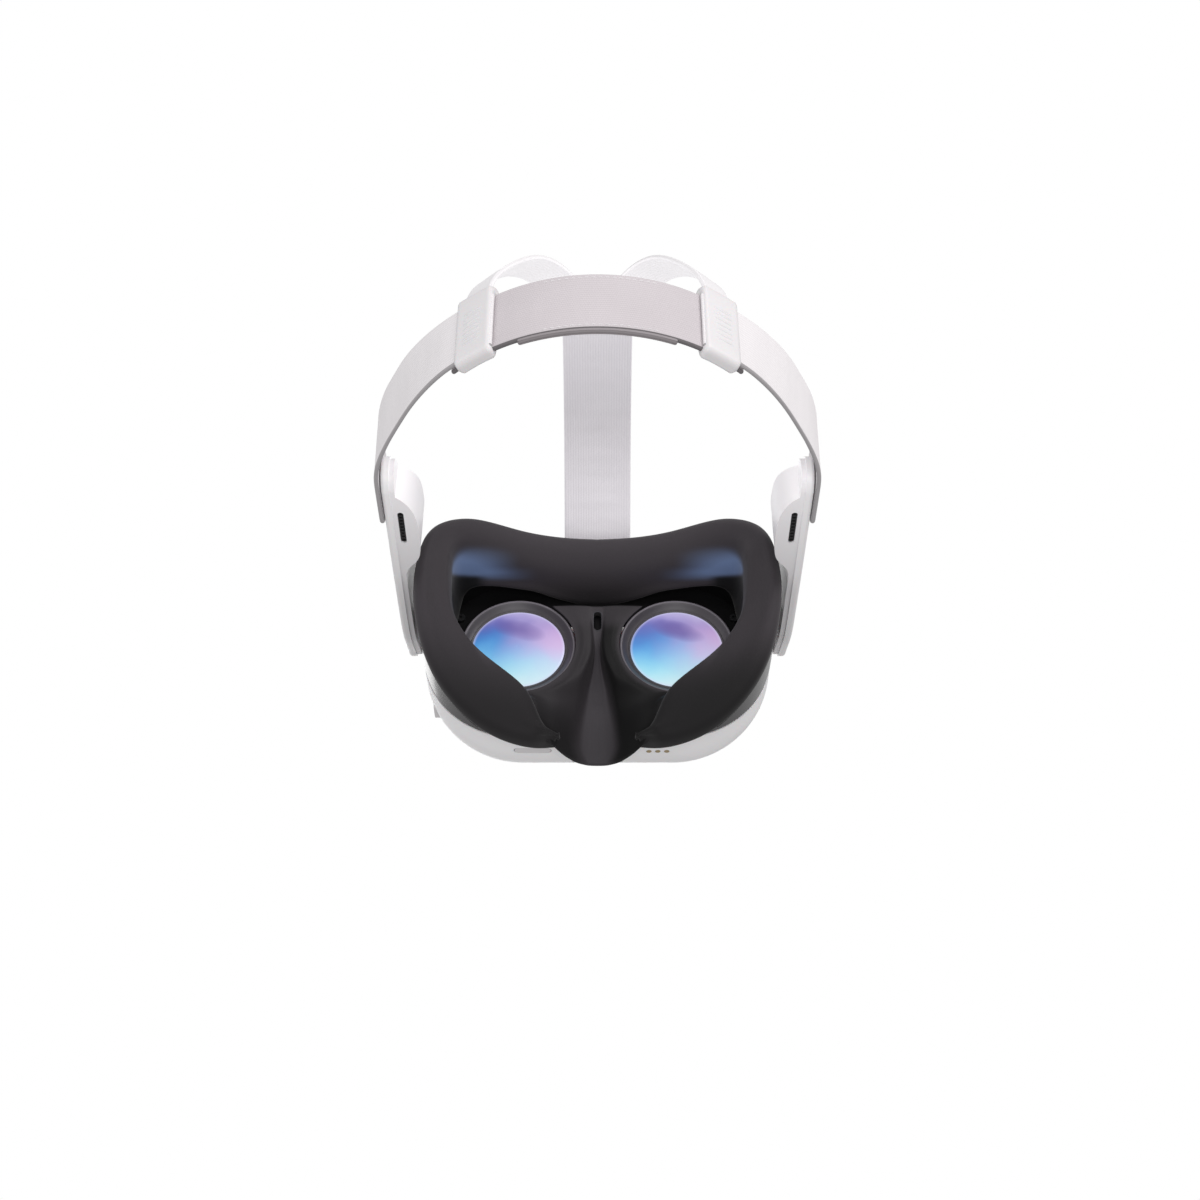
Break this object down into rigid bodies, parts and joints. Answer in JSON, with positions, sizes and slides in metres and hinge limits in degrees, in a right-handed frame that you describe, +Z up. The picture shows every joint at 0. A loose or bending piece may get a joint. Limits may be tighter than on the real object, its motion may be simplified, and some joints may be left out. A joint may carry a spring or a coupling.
{
  "type": "vr headset",
  "caption": "Stand-alone virtual reality headset: visor with eye lenses and face cushion, pivoting strap arms with speakers, fabric head strap with sliders and top strap.",
  "frame": {"origin": "bottom centre of the bounding box of the whole headset as worn", "axes": "+Z up, +Y from the visor front to the back of the head, +X to the wearer's left"},
  "size_m": [0.1816, 0.247, 0.1633],
  "materials": {
    "shell_white": "satin, warm white",
    "frame_black": "fine matte charcoal",
    "window_gloss": "infrared-clear gloss black",
    "cushion_foam": "knitted charcoal cover over foam",
    "nose_rubber": "soft matte",
    "lens_glass": "coated, clear",
    "display_glass": "dark, glossy",
    "internal_metal": "bead blasted",
    "steel_bright": "ground",
    "board_green": "solder mask",
    "battery_wrap": "film wrapped",
    "gold_contacts": "gold plated",
    "strap_fabric": "fine ribbed warm light grey elastic",
    "rear_fabric": "fine ribbed grey elastic",
    "band_dark": "soft matte dark grey",
    "plastic_grey": "satin light grey"
  },
  "bodies": {
    "visor": {"front_shell": "shell_white", "rear_bezel": "frame_black", "sensor_window_left": "window_gloss", "sensor_window_center": "window_gloss", "sensor_window_right": "window_gloss", "tracking_camera_left": "frame_black", "tracking_camera_right": "frame_black", "colour_camera_left": "frame_black", "colour_camera_right": "frame_black", "depth_projector": "frame_black", "chassis_plate": "internal_metal", "main_board": "board_green", "heat_spreader": "internal_metal", "fan_housing": "frame_black", "battery_pack": "battery_wrap", "bezel_screws": "steel_bright", "proximity_sensor": "window_gloss", "guide_rods": "steel_bright", "usb_port": "steel_bright", "headphone_jack": "frame_black", "charging_contacts": "gold_contacts", "top_strap_bracket": "plastic_grey"},
    "fan": {"fan_rotor": "frame_black"},
    "lens_unit_left": {"lens_barrel_left": "frame_black", "eye_lens_left": "lens_glass", "display_left": "display_glass", "ipd_rack_left": "internal_metal"},
    "lens_unit_right": {"lens_barrel_right": "frame_black", "eye_lens_right": "lens_glass", "display_right": "display_glass", "ipd_rack_right": "internal_metal"},
    "spacing_wheel": {"ipd_wheel": "frame_black"},
    "power_key": {"power_button": "frame_black"},
    "volume_key": {"volume_rocker": "frame_black"},
    "facial_interface": {"interface_frame": "frame_black", "face_cushion": "cushion_foam", "nose_flap": "nose_rubber"},
    "depth_key_left": {"depth_button_left": "frame_black"},
    "depth_key_right": {"depth_button_right": "frame_black"},
    "head_strap": {"arm_shell_left": "shell_white", "arm_shell_right": "shell_white", "arm_pod_left": "shell_white", "arm_pod_right": "shell_white", "speaker_left": "frame_black", "speaker_right": "frame_black", "speaker_grille_left": "band_dark", "speaker_grille_right": "band_dark", "pivot_pin_left": "steel_bright", "pivot_pin_right": "steel_bright", "side_strap_left": "strap_fabric", "side_strap_right": "strap_fabric", "rear_band": "rear_fabric", "rear_band_edge": "band_dark", "rear_pad": "band_dark", "top_strap": "strap_fabric", "fork_leg_left": "strap_fabric", "fork_leg_right": "strap_fabric"},
    "slider_left": {"strap_slider_left": "plastic_grey"},
    "slider_right": {"strap_slider_right": "plastic_grey"}
  },
  "joints": [
    {"name": "strap_tilt", "type": "hinge", "parent": "visor", "child": "head_strap", "pos_m": [0, -0.08745, 0.07704], "axis": [1, 0, 0], "range_deg": [-8, 20], "deforming": ["top_strap"]},
    {"name": "lens_slide_left", "type": "slide", "parent": "visor", "child": "lens_unit_left", "axis": [1, 0, 0], "range_m": [-0.007, 0.0015]},
    {"name": "lens_slide_right", "type": "slide", "parent": "visor", "child": "lens_unit_right", "axis": [-1, 0, 0], "range_m": [-0.007, 0.0015]},
    {"name": "spacing_wheel_spin", "type": "hinge", "parent": "visor", "child": "spacing_wheel", "pos_m": [0, -0.10145, 0.02754], "axis": [0, 1, 0], "range_deg": [-101, 22]},
    {"name": "interface_depth", "type": "slide", "parent": "visor", "child": "facial_interface", "axis": [0, 1, 0], "range_m": [0, 0.006]},
    {"name": "depth_press_left", "type": "slide", "parent": "facial_interface", "child": "depth_key_left", "axis": [1, 0, 0], "range_m": [0, 0.0012]},
    {"name": "depth_press_right", "type": "slide", "parent": "facial_interface", "child": "depth_key_right", "axis": [-1, 0, 0], "range_m": [0, 0.0012]},
    {"name": "power_press", "type": "slide", "parent": "visor", "child": "power_key", "axis": [-1, 0, 0], "range_m": [0, 0.0008]},
    {"name": "volume_rock", "type": "hinge", "parent": "visor", "child": "volume_key", "pos_m": [0.029, -0.08525, 0.00984], "axis": [0, 1, 0], "range_deg": [-2.5, 2.5]},
    {"name": "fan_spin", "type": "hinge", "parent": "visor", "child": "fan", "pos_m": [0.0185, -0.11545, 0.05804], "axis": [0, 1, 0], "continuous": true},
    {"name": "slider_move_left", "type": "hinge", "parent": "head_strap", "child": "slider_left", "pos_m": [0, 0.04455, 0.07104], "axis": [0, 0, 1], "range_deg": [-4, 4], "deforming": ["fork_leg_left"]},
    {"name": "slider_move_right", "type": "hinge", "parent": "head_strap", "child": "slider_right", "pos_m": [0, 0.04455, 0.07104], "axis": [0, 0, -1], "range_deg": [-4, 4], "deforming": ["fork_leg_right"]}
  ],
  "couplings": [
    {"joint": "lens_slide_right", "follows": "lens_slide_left", "ratio": 1},
    {"joint": "spacing_wheel_spin", "follows": "lens_slide_left", "rad_per_m": 250}
  ]
}
